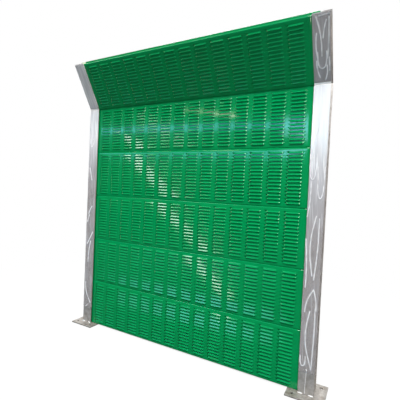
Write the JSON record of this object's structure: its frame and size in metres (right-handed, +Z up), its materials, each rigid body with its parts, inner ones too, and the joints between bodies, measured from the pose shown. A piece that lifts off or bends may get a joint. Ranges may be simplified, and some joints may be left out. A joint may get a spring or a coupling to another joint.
{
  "type": "noise barrier section",
  "caption": "Louvred steel noise barrier bay: sound-absorbing panels stacked between H-section posts on base plates, topped by a forward-leaning crown panel between mitred arms.",
  "frame": {"origin": "middle of the underside of the left post's base plate", "axes": "+Z up, +X along the barrier to the right post, +Y away from the louvred face"},
  "size_m": [2.81, 0.461, 3.0049],
  "materials": {
    "green_sheet": "gloss polyester powder coat on pressed sheet",
    "galvanised_section": "hot-dip galvanised rolled section",
    "galvanised_plate": "hot-dip galvanised plate",
    "weld_bead": "zinc-coated weld bead",
    "packing_film": "clear wrinkled polyethylene film",
    "black_glass_cloth": "black glass cloth over mineral wool"
  },
  "bodies": {
    "root": {"base_plate_left": "galvanised_plate", "post_left": "galvanised_section", "arm_left": "galvanised_section", "base_weld_left": "weld_bead", "knee_weld_left": "weld_bead", "post_film_left": "packing_film", "arm_film_left": "packing_film", "base_plate_right": "galvanised_plate", "post_right": "galvanised_section", "arm_right": "galvanised_section", "base_weld_right": "weld_bead", "knee_weld_right": "weld_bead", "post_film_right": "packing_film", "arm_film_right": "packing_film", "panel_1_front_cover": "green_sheet", "panel_1_back_cover": "green_sheet", "panel_1_end_cap_left": "green_sheet", "panel_1_end_cap_right": "green_sheet", "panel_1_wool_core": "black_glass_cloth", "panel_2_front_cover": "green_sheet", "panel_2_back_cover": "green_sheet", "panel_2_end_cap_left": "green_sheet", "panel_2_end_cap_right": "green_sheet", "panel_2_wool_core": "black_glass_cloth", "panel_3_front_cover": "green_sheet", "panel_3_back_cover": "green_sheet", "panel_3_end_cap_left": "green_sheet", "panel_3_end_cap_right": "green_sheet", "panel_3_wool_core": "black_glass_cloth", "panel_4_front_cover": "green_sheet", "panel_4_back_cover": "green_sheet", "panel_4_end_cap_left": "green_sheet", "panel_4_end_cap_right": "green_sheet", "panel_4_wool_core": "black_glass_cloth", "panel_5_front_cover": "green_sheet", "panel_5_back_cover": "green_sheet", "panel_5_end_cap_left": "green_sheet", "panel_5_end_cap_right": "green_sheet", "panel_5_wool_core": "black_glass_cloth", "crown_panel_front_cover": "green_sheet", "crown_panel_back_cover": "green_sheet", "crown_panel_end_cap_left": "green_sheet", "crown_panel_end_cap_right": "green_sheet", "crown_panel_wool_core": "black_glass_cloth"}
  },
  "joints": []
}
